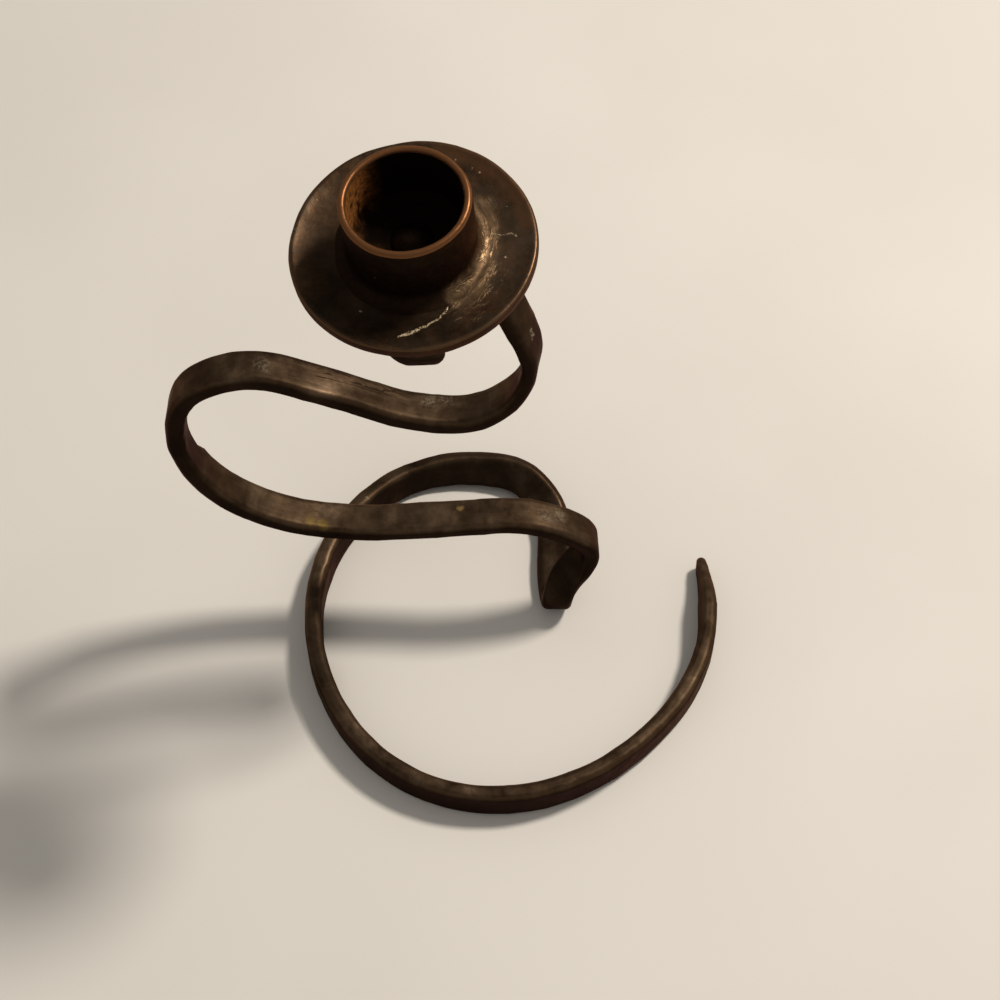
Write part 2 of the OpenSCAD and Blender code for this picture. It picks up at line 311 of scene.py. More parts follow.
class Nodes:
    """Adds nodes to one tree and wires them up."""

    def __init__(self, tree):
        self.tree = tree

    def feed(self, socket, value):
        if isinstance(value, bpy.types.NodeSocket):
            self.tree.links.new(value, socket)
        elif value is not None:
            socket.default_value = value

    def add(self, kind, inputs=None, **settings):
        node = self.tree.nodes.new(kind)
        for name, value in settings.items():
            setattr(node, name, value)
        for name, value in (inputs or {}).items():
            self.feed(node.inputs[name], value)
        return node

    def math(self, operation, *values, clamp=False):
        node = self.add("ShaderNodeMath", operation=operation, use_clamp=clamp)
        for socket, value in zip(node.inputs, values):
            self.feed(socket, value)
        return node.outputs[0]

    plus = partialmethod(math, "ADD")
    minus = partialmethod(math, "SUBTRACT")
    times = partialmethod(math, "MULTIPLY")
    over = partialmethod(math, "DIVIDE")
    most = partialmethod(math, "MAXIMUM")
    least = partialmethod(math, "MINIMUM")
    opposite = partialmethod(math, "SUBTRACT", 1.0)

    def vector(self, operation, *values):
        node = self.add("ShaderNodeVectorMath", operation=operation)
        for socket, value in zip(node.inputs, values):
            self.feed(socket, value)
        return node.outputs["Value" if operation in ("LENGTH", "DOT_PRODUCT", "DISTANCE") else "Vector"]

    def scale(self, vector, factor):
        return self.vector("SCALE", vector, None, None, factor)

    def in_units(self, place, size, shift=None):
        """A place counted in steps of a size; a seed as its shift keeps two patterns from matching."""
        counted = self.scale(place, self.over(1.0, size))
        return counted if shift is None else self.vector("ADD", counted, shift)

    def split(self, vector):
        return self.add("ShaderNodeSeparateXYZ", {"Vector": vector}).outputs

    def join(self, x, y, z):
        return self.add("ShaderNodeCombineXYZ", {"X": x, "Y": y, "Z": z}).outputs[0]

    def ramp(self, value, low, high):
        """A value's place between low and high, from 0 to 1, eased at both ends."""
        node = self.add("ShaderNodeMapRange", {"Value": value, "From Min": low, "From Max": high},
                        interpolation_type="SMOOTHSTEP")
        return node.outputs["Result"]

    def fade(self, value, low, high):
        """1 below low and 0 above high, eased at both ends."""
        return self.opposite(self.ramp(value, low, high))

    def blend(self, factor, a, b):
        """Colour b over colour a by a mask."""
        node = self.add("ShaderNodeMix", data_type="RGBA")
        self.feed(node.inputs["Factor"], factor)
        colours = [socket for socket in node.inputs if socket.type == "RGBA"]
        self.feed(colours[0], a)
        self.feed(colours[1], b)
        return next(socket for socket in node.outputs if socket.type == "RGBA")

    def laid(self, colour, *layers):
        """Layers over a colour, each with its tint, its mask and a share of its full strength."""
        for tint, mask, share in layers:
            colour = self.blend(self.times(mask, share), colour, tint)
        return colour

    def noise(self, vector, scale, detail=2.0, roughness=0.5, distortion=0.0, output=0):
        node = self.add("ShaderNodeTexNoise", {"Vector": vector, "Scale": scale, "Detail": detail,
                                               "Roughness": roughness, "Distortion": distortion})
        return node.outputs[output]

    def cells(self, vector, scale, feature="F1"):
        return self.add("ShaderNodeTexVoronoi", {"Vector": vector, "Scale": scale}, feature=feature).outputs

    def group(self, tree, place, **values):
        """Puts in a shader group, with the place that it reads first and its other values by name."""
        inputs = {0: place, **{socket_name(name): value for name, value in values.items()}}
        return self.add("ShaderNodeGroup", inputs, node_tree=tree).outputs


def socket_name(name):
    """The socket that stands for a parameter: patch_size is Patch Size."""
    return name.replace("_", " ").title()


def group_sockets(tree, takes, gives):
    """Gives a tree its named inputs and outputs."""
    for name, kind, value in takes:
        socket = tree.interface.new_socket(name, in_out="INPUT", socket_type="NodeSocket" + kind)
        if value is not None:
            socket.default_value = value
    for name, kind in gives:
        tree.interface.new_socket(name, in_out="OUTPUT", socket_type="NodeSocket" + kind)


# Geometry trees

def stored(n, kind, name):
    """Reads a named value of the surface, or of the route."""
    return n.add("GeometryNodeInputNamedAttribute", {"Name": name}, data_type=kind).outputs["Attribute"]


def store(n, geometry, kind, name, value):
    """Keeps a value on the surface under a name."""
    node = n.add("GeometryNodeStoreNamedAttribute", {"Geometry": geometry, "Name": name, "Value": value},
                 data_type=kind, domain="POINT")
    return node.outputs["Geometry"]


def hammered(n, place, size, seed):
    """How deep the hammer has set each place, from 0 on the ridges to 1 in the middle of a blow."""
    shifted = n.in_units(place, size, seed)
    ridge = n.cells(shifted, 1.0, "DISTANCE_TO_EDGE")["Distance"]
    blow = n.most(n.opposite(n.over(ridge, 0.42)), 0.0)
    dish = n.opposite(n.times(blow, blow))
    force = n.split(n.cells(shifted, 1.0)["Color"])["X"]
    return n.times(dish, n.plus(n.times(force, 0.75), 0.25))


def worked_depth(n, place, takes, flake_detail):
    """How deep the hammer's blows, the uneven thickness and the flaking scale go into the surface."""
    seed = takes["Seed"]
    blows = hammered(n, place, takes["Hammer Size"], seed)
    wave = n.noise(n.in_units(place, takes["Wave Size"], seed), 1.0, 1.0)
    flakes = n.noise(n.in_units(place, takes["Scale Size"], seed), 1.0, flake_detail)
    uneven = n.times(n.ramp(wave, 0.3, 0.7), takes["Wave Depth"])
    flaked = n.times(n.ramp(flakes, 0.45, 0.75), takes["Scale Depth"])
    return n.plus(n.plus(n.times(blows, takes["Hammer Depth"]), uneven), flaked)


def wrapped_grid(n, guide, per_row):
    """A grid with one row for each point of the guide; gives its mesh and each point's row and column."""
    rows = n.add("GeometryNodeAttributeDomainSize", {"Geometry": guide},
                 component="MESH").outputs["Point Count"]
    grid = n.add("GeometryNodeMeshGrid", {"Vertices X": rows, "Vertices Y": per_row}).outputs["Mesh"]
    index = n.add("GeometryNodeInputIndex").outputs[0]
    row = n.math("FLOOR", n.over(n.plus(index, 0.5), per_row))
    return grid, row, n.minus(index, n.times(row, per_row))


def sampled(n, guide, row, kind, value):
    """A value of the guide at the point that a row belongs to."""
    node = n.add("GeometryNodeSampleIndex", {"Geometry": guide, "Index": row}, data_type=kind)
    n.feed(node.inputs["Value"], value)
    return node.outputs["Value"]


def moved(n, mesh, **how):
    """Moves every point to a Position, or by an Offset."""
    return n.add("GeometryNodeSetPosition", {"Geometry": mesh, **how}).outputs[0]


def closed(n, mesh):
    """Joins the first and last columns, and each end that has shrunk to a point."""
    return n.add("GeometryNodeMergeByDistance", {"Geometry": mesh, "Distance": 0.01 * MM}).outputs[0]


def geometry_tree(name, own_inputs):
    """A tree with its own inputs and those of the hammered skin that every piece has."""
    tree = bpy.data.node_groups.new(name, "GeometryNodeTree")
    skin = [(label + part, "Float", 0.001) for label in ("Hammer", "Wave", "Scale")
            for part in (" Size", " Depth")]
    takes = [("Geometry", "Geometry", None), *own_inputs, *skin, ("Seed", "Float", 0.0),
             ("Material", "Material", None)]
    group_sockets(tree, takes, [("Geometry", "Geometry")])
    n = Nodes(tree)
    return tree, n, n.add("NodeGroupInput").outputs, n.add("NodeGroupOutput").inputs


def finish_tree(n, geometry, material, gives):
    geometry = n.add("GeometryNodeSetShadeSmooth", {"Geometry": geometry}).outputs[0]
    real = n.add("GeometryNodeRealizeInstances", {"Geometry": geometry}).outputs[0]
    dressed = n.add("GeometryNodeSetMaterial", {"Geometry": real, "Material": material}).outputs[0]
    n.feed(gives["Geometry"], dressed)


def flat_bar_tree():
    """Forges a flat bar along a route of points that carry its directions and half sizes."""
    tree, n, takes, gives = geometry_tree(
        "forge flat bar",
        [("Wide Side Steps", "Int", 20), ("Narrow Side Steps", "Int", 12), ("Edge Radius", "Float", 0.001)])
    route = takes["Geometry"]
    wide_steps, narrow_steps = takes["Wide Side Steps"], takes["Narrow Side Steps"]
    half_round = n.plus(wide_steps, narrow_steps)
    sides = n.times(half_round, 2.0)
    per_row = n.plus(sides, 1.0)
    grid, row, column = wrapped_grid(n, route, per_row)
    centre = sampled(n, route, row, "FLOAT_VECTOR", n.add("GeometryNodeInputPosition").outputs[0])
    wide, flat = (sampled(n, route, row, "FLOAT_VECTOR", stored(n, "FLOAT_VECTOR", name))
                  for name in ("wide", "flat"))
    half_w, half_t, length = (sampled(n, route, row, "FLOAT", stored(n, "FLOAT", name))
                              for name in ("half_w", "half_t", "along"))

    def side_wave(shift, steps):
        turn = n.plus(n.over(column, sides), shift)
        wave = n.minus(n.times(n.math("PINGPONG", turn, 0.5), 4.0), 1.0)
        steep = n.times(wave, n.over(half_round, steps))
        return n.most(n.least(steep, 1.0), -1.0)

    x = n.times(side_wave(0.0, wide_steps), half_w)
    y = n.times(side_wave(0.25, narrow_steps), half_t)
    thin = n.least(half_w, half_t)
    radius = n.least(takes["Edge Radius"], n.times(thin, 0.92))
    inner_x = n.minus(half_w, radius)
    inner_y = n.minus(half_t, radius)
    held_x = n.most(n.least(x, inner_x), n.times(inner_x, -1.0))
    held_y = n.most(n.least(y, inner_y), n.times(inner_y, -1.0))
    corner = n.join(n.minus(x, held_x), n.minus(y, held_y), 0.0)
    outward = n.split(n.vector("NORMALIZE", corner))
    side_x = n.plus(held_x, n.times(outward["X"], radius))
    side_y = n.plus(held_y, n.times(outward["Y"], radius))
    place = n.vector("ADD", centre, n.vector("ADD", n.scale(wide, side_x), n.scale(flat, side_y)))
    outside = n.vector("ADD", n.scale(wide, outward["X"]), n.scale(flat, outward["Y"]))

    on_table = n.ramp(n.split(place)["Z"], 0.0, 1.2 * MM)
    depth = n.times(worked_depth(n, place, takes, 2.0), on_table)
    depth = n.least(depth, n.times(thin, 0.5))
    shaped = n.vector("SUBTRACT", place, n.scale(outside, depth))

    mesh = moved(n, grid, Position=shaped)
    bend = n.times(n.math("ABSOLUTE", n.times(outward["X"], outward["Y"])), 2.0)
    mesh = store(n, mesh, "FLOAT", "long_edge", bend)
    mesh = store(n, mesh, "FLOAT", "sunk", n.over(depth, takes["Hammer Depth"]))
    mesh = store(n, mesh, "FLOAT_VECTOR", "bar_place", n.join(length, side_x, side_y))
    finish_tree(n, closed(n, mesh), takes["Material"], gives)
    return tree


def turned_tree():
    """Turns a profile of points (radius, height) into a closed round piece and hammers it."""
    tree, n, takes, gives = geometry_tree(
        "turn and hammer",
        [("Steps Round", "Int", 192), ("Turn", "Rotation", None), ("Seat", "Vector", None),
         ("Rim Sag", "Float", 0.0), ("Joint Radius", "Float", 1.0), ("Joint Height", "Float", 0.0)])
    profile = takes["Geometry"]
    per_row = n.plus(takes["Steps Round"], 1.0)
    grid, row, column = wrapped_grid(n, profile, per_row)
    point = n.split(sampled(n, profile, row, "FLOAT_VECTOR", n.add("GeometryNodeInputPosition").outputs[0]))
    angle = n.times(n.over(column, takes["Steps Round"]), 2 * math.pi)
    cos, sin = n.math("COSINE", angle), n.math("SINE", angle)
    sag = n.noise(n.vector("ADD", n.join(cos, sin, 0.0), takes["Seed"]), 1.1, 1.0)
    out = point["X"]
    far = n.ramp(out, 0.4 * PAN_D / 2 * MM, PAN_D / 2 * MM)
    drop = n.times(n.times(n.ramp(sag, 0.3, 0.7), far), takes["Rim Sag"])
    height = n.times(point["Z"], n.opposite(drop))
    out = n.times(out, n.opposite(n.times(drop, 0.06)))
    turned = n.join(n.times(out, cos), n.times(out, sin), height)
    mesh = closed(n, store(n, moved(n, grid, Position=turned), "FLOAT_VECTOR", "seat_place", turned))

    place = stored(n, "FLOAT_VECTOR", "seat_place")
    part = n.split(place)
    level = n.join(part["X"], part["Y"], 0.0)
    beyond = n.most(n.minus(n.vector("LENGTH", level), takes["Joint Radius"]), 0.0)
    above = n.math("ABSOLUTE", n.minus(part["Z"], takes["Joint Height"]))
    clear_of_joint = n.ramp(n.most(beyond, above), 0.1 * MM, 2.4 * MM)
    depth = n.times(worked_depth(n, place, takes, 3.0), clear_of_joint)
    inward = n.scale(n.add("GeometryNodeInputNormal").outputs[0], n.times(depth, -1.0))
    mesh = store(n, mesh, "FLOAT", "sunk", n.over(depth, takes["Hammer Depth"]))
    mesh = n.add("GeometryNodeTransform", {"Geometry": moved(n, mesh, Offset=inward),
                                           "Translation": takes["Seat"],
                                           "Rotation": takes["Turn"]}).outputs[0]
    finish_tree(n, mesh, takes["Material"], gives)
    return tree


def in_scene(name, data):
    """Makes an object of a mesh, lamp or camera and puts it into the scene."""
    thing = bpy.data.objects.new(name, data)
    bpy.context.scene.collection.objects.link(thing)
    return thing


def grown(name, points, attributes, tree, sizes):
    """Runs a geometry tree over a row of points and keeps the plain mesh that comes out."""
    start = bpy.data.meshes.new(name + "_start")
    start.from_pydata([tuple(p) for p in points], [], [])
    for label, values in attributes.items():
        values = np.asarray(values, float)
        kind = "FLOAT_VECTOR" if values.ndim == 2 else "FLOAT"
        layer = start.attributes.new(label, kind, "POINT")
        layer.data.foreach_set("vector" if values.ndim == 2 else "value", values.ravel())
    helper = in_scene(name + "_start", start)
    modifier = helper.modifiers.new("make", "NODES")
    modifier.node_group = tree
    sockets = {s.name: s.identifier for s in tree.interface.items_tree if s.in_out == "INPUT"}
    for label, value in sizes.items():
        modifier[sockets[label]] = value
    made = bpy.data.meshes.new_from_object(helper.evaluated_get(bpy.context.evaluated_depsgraph_get()))
    helper.modifiers.remove(modifier)
    bpy.data.objects.remove(helper)
    bpy.data.meshes.remove(start)
    made.name = name
    return in_scene(name, made)


# Finishes, marks and painted shade

GLOSS = 0.2
GLOSS_TINT = (0.62, 0.4, 0.22, 1)
# Near black, for real soot and for painted shade on sides, undersides and where parts shade each other
SOOT = (0.0055, 0.0032, 0.002, 1)
WORN_BROWN = (0.115, 0.062, 0.031, 1)
WORN_COPPER = (0.19, 0.08, 0.031, 1)
OLD_WAX = (0.5, 0.43, 0.31, 1)
CRUST_BROWN = (0.17, 0.108, 0.058, 1)
CRUST_GOLD = (0.38, 0.25, 0.13, 1)
PROUD_BROWN = (0.115, 0.076, 0.046, 1)
GRAIN_BROWN = (0.11, 0.078, 0.05, 1)
CRACK_BLACK = (0.012, 0.007, 0.004, 1)
STAIN_YELLOW = (0.15, 0.1, 0.022, 1)
SPECK_GOLD = (0.33, 0.2, 0.07, 1)
RIM_SHADE = (0.026, 0.01, 0.005, 1)
RIM_BROWN = (0.13, 0.062, 0.028, 1)
STREAK_WHITE = (0.62, 0.48, 0.3, 1)
RUST_DARK = (0.15, 0.048, 0.012, 1)
RUST_BRIGHT = (0.33, 0.125, 0.03, 1)
RUST_EATEN = (0.02, 0.009, 0.005, 1)


def millimetres(*points):
    """Points in metres; a height that isn't given is 0."""
    return [tuple(c * MM for c in (*p, 0.0)[:3]) for p in points]


# Marks on the bar, in millimetres from the part's origin
UPPER_CRACKS = millimetres((-29.0, 15.0, 91.7), (-26.7, 15.1, 90.7), (-19.0, 14.6, 86.8),
                           (-11.5, 14.4, 83.4))
GREY_PATCHES = millimetres((-42.4, 12.8, 97.3), (-5.5, 14.7, 81.5), (-2.0, 15.9, 81.0), (22.0, 12.3, 36.6),
                           (25.8, 14.0, 35.2))
GOLD_SPECK = millimetres((-0.6, 13.3, 37.0), (0.6, 14.6, 37.0))
YELLOW_STAIN = millimetres((-36.5, 10.4, 37.3), (-33.4, 9.6, 37.0))
NECK_WAX = millimetres((17.6, 11.9, 109.9), (17.4, 11.9, 108.3))
# Painted shade between the ring's back and the foot, under the stem
DIRTY_PATH = millimetres((-8.0, 48.0, 5.0), (5.8, 48.9, 5.0), (16.3, 46.3, 4.5), (22.4, 39.4, 4.0),
                         (25.5, 29.9, 3.0), (25.5, 7.0, 3.0), (27.2, 8.1, 12.2), (31.2, 11.5, 16.5))

# Marks on the pan, in millimetres from its middle
CRUST_PATH = millimetres((13.0, 8.6), (14.3, 4.9), (14.6, -0.6), (14.3, -4.0), (13.1, -7.4), (11.1, -10.2),
                         (8.8, -12.4))
FLECK_PATH = millimetres((15.4, -4.4), (14.6, -9.0), (12.5, -12.2), (12.3, -14.6), (10.2, -15.7),
                         (8.2, -14.6))
STREAK_PATH = millimetres((-1.5, -20.2), (0.2, -19.5), (2.3, -18.6))
FINE_STREAK_PATH = millimetres((-2.6, -20.6), (2.5, -18.5), (4.8, -17.0), (6.5, -15.2), (7.1, -13.9),
                               (7.0, -12.5))
THIN_STREAK_PATH = millimetres((15.1, 2.1), (17.7, 1.7), (19.4, 2.2), (20.3, 1.1))
PAN_SPECKS = millimetres((8.4, 20.0), (11.6, 17.8), (13.2, 16.7), (-23.7, 4.6), (-19.5, 11.6), (18.0, -3.4),
                         (17.4, -8.8))
BROWN_RIM_PATH = millimetres((5.5, 22.6), (12.0, 20.0), (17.5, 15.2), (21.2, 9.4), (22.6, 4.0))
# Painted shadow of the socket on the pan's front left, in millimetres from the pan's middle
SOOTED_PATH = millimetres((-16.0, -3.0), (-14.5, -10.0), (-9.0, -15.5), (-2.0, -17.0), (4.0, -15.0))
# Where rust has eaten the wall inside the socket
EATEN_PATH = millimetres((-10.2, 5.4, 9.4), (-10.4, 4.8, 6.6), (-10.3, 4.4, 4.4))


# Shader groups

SOCKET_KINDS = {float: "Float", tuple: "Color"}


def shader_group(*gives):
    """Makes a shader group of the function below it. Each parameter is an input, a vector where it has no
    default, and the function returns the outputs that are named here."""
    def made(build):
        takes = []
        for name, parameter in list(signature(build).parameters.items())[1:]:
            kind = SOCKET_KINDS.get(type(parameter.default), "Vector")
            takes.append((socket_name(name), kind, None if kind == "Vector" else parameter.default))
        tree = bpy.data.node_groups.new(build.__name__.replace("_", " "), "ShaderNodeTree")
        group_sockets(tree, takes, [(name, "Color" if name == "Color" else "Float") for name in gives])
        n = Nodes(tree)
        results = build(n, *n.add("NodeGroupInput").outputs[:len(takes)])
        for socket, result in zip(n.add("NodeGroupOutput").inputs, results):
            n.feed(socket, result)
        return tree
    return made


def line_distance(n, place, a, b):
    """Distance from a place to the line between two points."""
    a, b = Vector(a), Vector(b)
    run = b - a
    from_a = n.vector("SUBTRACT", place, tuple(a))
    share = n.over(n.vector("DOT_PRODUCT", from_a, tuple(run)), run.length_squared, clamp=True)
    return n.vector("LENGTH", n.vector("SUBTRACT", from_a, n.scale(tuple(run), share)))


def path_distance(n, place, points):
    """Distance from a place to the nearest stretch of a path."""
    return reduce(n.least, (line_distance(n, place, a, b) for a, b in zip(points, points[1:])))


def near(n, distance, full, none):
    """1 closer than full, 0 beyond none, both in millimetres."""
    return n.fade(distance, full * MM, none * MM)


def spots(n, place, points, full, none):
    """1 round each of the points, 0 away from them, with the same two distances as near."""
    return reduce(n.most, (near(n, n.vector("DISTANCE", place, point), full, none) for point in points))


def ragged_place(n, place, scale, amount, detail=3.0):
    """The place with its lines made to wander."""
    wiggle = n.vector("SUBTRACT", n.noise(place, scale, detail, output="Color"), (0.5, 0.5, 0.5))
    return n.vector("ADD", place, n.scale(wiggle, amount * MM))


@shader_group("Color", "Roughness", "Height")
def forge_scale(n, place, patch_size=0.008, flake_size=0.002, dark=(0.012, 0.008, 0.005, 1),
                middle=(0.035, 0.022, 0.014, 1), pale=(0.075, 0.05, 0.034, 1), roughness=0.5):
    """Fire scale on hand forged iron: slow mottling, worn brown patches, a soft skin and scattered pits."""
    flake_place = n.in_units(place, flake_size)
    patches = n.noise(n.in_units(place, patch_size), 1.0, 4.0, 0.55, 0.35)
    flakes = n.noise(flake_place, 1.0, 3.0, 0.6, 0.3)
    mottle = n.plus(n.times(patches, 0.72), n.times(flakes, 0.28))
    colour = n.blend(n.ramp(mottle, 0.34, 0.54), dark, middle)
    colour = n.blend(n.ramp(mottle, 0.5, 0.7), colour, pale)
    rough = n.plus(roughness, n.times(n.minus(flakes, 0.5), 0.3))
    rough = n.minus(rough, n.times(n.minus(patches, 0.5), 0.3), clamp=True)
    pit_cells = n.cells(flake_place, 0.55)
    chosen = n.math("LESS_THAN", n.split(pit_cells["Color"])["X"], 0.3)
    pits = n.times(chosen, n.fade(pit_cells["Distance"], 0.05, 0.3))
    return colour, rough, n.minus(flakes, n.times(pits, 0.7))


@shader_group("Lines", "Cracks")
def drawn_grain(n, bar_place, stretch=9.0, line_size=0.0008, crack_size=0.0022):
    """Drag lines along the way the bar was drawn out, and the fine cracks that open along them."""
    part = n.split(bar_place)
    place = n.join(n.over(part["X"], stretch), part["Y"], part["Z"])
    lines = n.minus(n.noise(n.in_units(place, line_size), 1.0, 3.0, 0.6, 0.3), 0.5)
    veins = n.minus(n.noise(n.in_units(place, crack_size), 1.0, 3.0, 0.6, 0.8), 0.5)
    return lines, n.fade(n.math("ABSOLUTE", veins), 0.0, 0.035)


@shader_group("Mask")
def edge_wear(n, place, edge=0.0, spot_size=0.003, amount=0.6):
    """Where handling has rubbed proud edges back to brown metal, in broken stretches."""
    broken = n.noise(n.in_units(place, spot_size), 1.0, 4.0, 0.65)
    slow = n.noise(n.scale(place, n.over(0.14, spot_size)), 1.0, 1.0)
    bite = n.times(n.plus(broken, slow), 0.5)
    return [n.ramp(n.minus(n.plus(edge, bite), n.minus(1.15, amount)), 0.25, 0.62)]


@shader_group("Mask")
def settled_dust(n, place, normal, patch_size=0.006, low=0.25, high=0.8):
    """1 on what faces up, 0 on what faces sideways or down, a little uneven: the mask of painted shade, which
    darkens the sides and undersides so that the tops look lit.
    """
    upward = n.vector("DOT_PRODUCT", normal, (0, 0, 1))
    uneven = n.noise(n.in_units(place, patch_size), 1.0, 3.0)
    return [n.ramp(n.plus(upward, n.times(n.minus(uneven, 0.5), 0.5)), low, high)]


@shader_group("Mask")
def pale_specks(n, place, spacing=0.004, speck_size=0.12, amount=0.3):
    """Scattered pale specks: drips of old wax, ash and bits of lime."""
    ragged = n.scale(n.noise(place, 900.0, output="Color"), 0.5)
    cell = n.cells(n.in_units(place, spacing, ragged), 1.0)
    chosen = n.split(cell["Color"])
    size = n.times(speck_size, n.plus(chosen["Y"], 0.35))
    spot = n.fade(n.over(cell["Distance"], size), 0.55, 1.0)
    return [n.times(spot, n.math("LESS_THAN", chosen["X"], amount))]


@shader_group("Color", "Mask", "Pits")
def red_rust(n, place, bloom_size=0.004, amount=0.5):
    """Thin red-brown rust bloom with darker eaten spots."""
    place = n.in_units(place, bloom_size)
    bloom = n.noise(place, 1.0, 5.0, 0.62, 0.5)
    grain = n.noise(place, 5.0, 3.0, 0.6)
    pits = n.fade(n.cells(place, 1.7, "SMOOTH_F1")["Distance"], 0.12, 0.34)
    colour = n.laid(n.blend(n.ramp(grain, 0.35, 0.65), RUST_DARK, RUST_BRIGHT), (RUST_EATEN, pits, 0.75))
    mask = n.ramp(n.minus(bloom, n.times(n.opposite(amount), 0.5)), 0.2, 0.36)
    return colour, mask, pits


@shader_group("Crust", "Fibres", "Flecks")
def dried_crust(n, place, band_width=0.0034, fleck_width=0.0042):
    """What candles left beside the socket: a ragged band of dried wax and ash, fibres and golden flecks."""
    loose = ragged_place(n, place, 330.0, 3.6, 4.0)
    part = n.split(place)
    round_way = n.times(n.math("ARCTAN2", part["Y"], part["X"]), FOOT_R * MM)
    drawn = n.join(n.times(round_way, 0.4), n.vector("LENGTH", place), 0.0)
    cloud = n.ramp(n.noise(drawn, 300.0, 4.0, 0.6), 0.34, 0.62)
    strands = n.noise(ragged_place(n, drawn, 420.0, 1.6), 620.0, 3.0, 0.58, 0.5)
    thread = n.fade(n.math("ABSOLUTE", n.minus(strands, 0.5)), 0.0, 0.075)
    fibre = n.times(thread, n.ramp(n.noise(drawn, 480.0, 2.0), 0.42, 0.6))
    band = n.fade(n.over(path_distance(n, loose, CRUST_PATH), band_width), 0.2, 1.0)
    spread = n.fade(n.over(path_distance(n, loose, FLECK_PATH), fleck_width), 0.2, 1.0)
    crust = n.times(band, n.plus(0.25, n.times(cloud, 0.75)))
    clots = n.most(n.times(fibre, cloud), n.ramp(strands, 0.6, 0.72))
    return crust, n.times(crust, fibre), n.times(spread, clots)


# Materials

def new_material(name):
    material = bpy.data.materials.new(name)
    material.use_nodes = True
    material.node_tree.nodes.clear()
    n = Nodes(material.node_tree)
    shader = n.add("ShaderNodeBsdfPrincipled")
    n.add("ShaderNodeOutputMaterial", {"Surface": shader.outputs[0]})
    return material, n, shader


def iron(build):
    """Makes a material of the function below it, which returns its colour, roughness and metal, and the
    height, strength and distance of its bump. The warm gloss is the same on all of them."""
    material, n, shader = new_material(build.__name__)
    colour, rough, metallic, *bump = build(n)
    normal = n.add("ShaderNodeBump", dict(zip(("Height", "Strength", "Distance"), bump))).outputs[0]
    for name, value in {"Base Color": colour, "Roughness": rough, "Metallic": metallic, "Normal": normal,
                        "Specular IOR Level": GLOSS, "Specular Tint": GLOSS_TINT}.items():
        n.feed(shader.inputs[name], value)
    return material


def attribute(n, name):
    return n.add("ShaderNodeAttribute", attribute_type="GEOMETRY", attribute_name=name).outputs


def surface_normal(n):
    return n.add("ShaderNodeNewGeometry").outputs["Normal"]


@iron
def forged_iron(n):
    place = n.add("ShaderNodeTexCoord").outputs["Object"]
    skin = n.group(forge_scale, place, patch_size=0.011, flake_size=0.003, dark=(0.021, 0.0122, 0.0068, 1),
                   middle=(0.05, 0.031, 0.0178, 1), pale=(0.115, 0.075, 0.046, 1), roughness=0.5)
    lines = n.group(drawn_grain, attribute(n, "bar_place")["Vector"], line_size=0.001, crack_size=0.0026)
    rubbed = n.group(edge_wear, place, edge=attribute(n, "long_edge")["Fac"], spot_size=0.005,
                     amount=0.2)["Mask"]
    upward = n.group(settled_dust, place, normal=surface_normal(n), patch_size=0.007, low=0.1)["Mask"]
    dots = n.group(pale_specks, place, spacing=0.006, speck_size=0.09, amount=0.14)["Mask"]
    proud = n.fade(attribute(n, "sunk")["Fac"], 0.1, 0.9)
    # The bar's sides and undersides are darkened to near black by the mask above: painted shade, so that the
    # tops look lit
    colour = n.laid(skin["Color"], (PROUD_BROWN, proud, 0.35),
                    (GRAIN_BROWN, n.ramp(lines["Lines"], 0.04, 0.2), 0.14), (WORN_BROWN, rubbed, 0.3),
                    (SOOT, n.opposite(upward), 0.88))

    loose = ragged_place(n, place, 260.0, 3.0)
    # Painted shade on the ring's back and the foot, blended half way to near black
    dirty = near(n, path_distance(n, ragged_place(n, place, 120.0, 6.0), DIRTY_PATH), 5.0, 14.0)
    cracks = n.times(lines["Cracks"], near(n, path_distance(n, loose, UPPER_CRACKS), 0.8, 3.4))
    grit = n.ramp(n.noise(place, 1300.0, 3.0, 0.7), 0.42, 0.62)
    patches = n.times(n.times(spots(n, loose, GREY_PATCHES, 0.2, 3.2), grit), 0.17)
    wax = n.times(n.times(spots(n, loose, NECK_WAX, 0.3, 1.3), n.ramp(grit, 0.0, 0.7)), 0.6)
    pale = n.most(n.most(patches, wax), n.times(n.times(dots, upward), 0.35))
    colour = n.laid(colour, (SOOT, dirty, 0.5), (CRACK_BLACK, cracks, 0.8),
                    (STAIN_YELLOW, spots(n, loose, YELLOW_STAIN, 0.3, 2.2), 0.5),
                    (SPECK_GOLD, spots(n, loose, GOLD_SPECK, 0.2, 1.1), 0.75), (OLD_WAX, pale, 1.0))

    rough = n.minus(skin["Roughness"], n.times(rubbed, 0.1))
    rough = n.plus(rough, n.times(pale, 0.3), clamp=True)
    metallic = n.minus(0.72, n.times(pale, 0.7), clamp=True)
    height = n.plus(skin["Height"], n.times(lines["Lines"], 0.35))
    height = n.plus(n.minus(height, n.times(cracks, 0.9)), n.times(pale, 0.5))
    return colour, rough, metallic, height, 0.6, 0.00016


def seat_reading(n):
    """Place in the pan's own frame, with its radius and height."""
    place = attribute(n, "seat_place")["Vector"]
    part = n.split(place)
    flat = n.join(part["X"], part["Y"], 0.0)
    return place, flat, n.vector("LENGTH", flat), part["Z"]


def side_facing(n, flat, degrees, low, high):
    """1 on the side of the pan or socket that lies at this angle from +X, 0 on the other side."""
    way = (math.cos(math.radians(degrees)), math.sin(math.radians(degrees)), 0.0)
    return n.ramp(n.vector("DOT_PRODUCT", n.vector("NORMALIZE", flat), way), low, high)


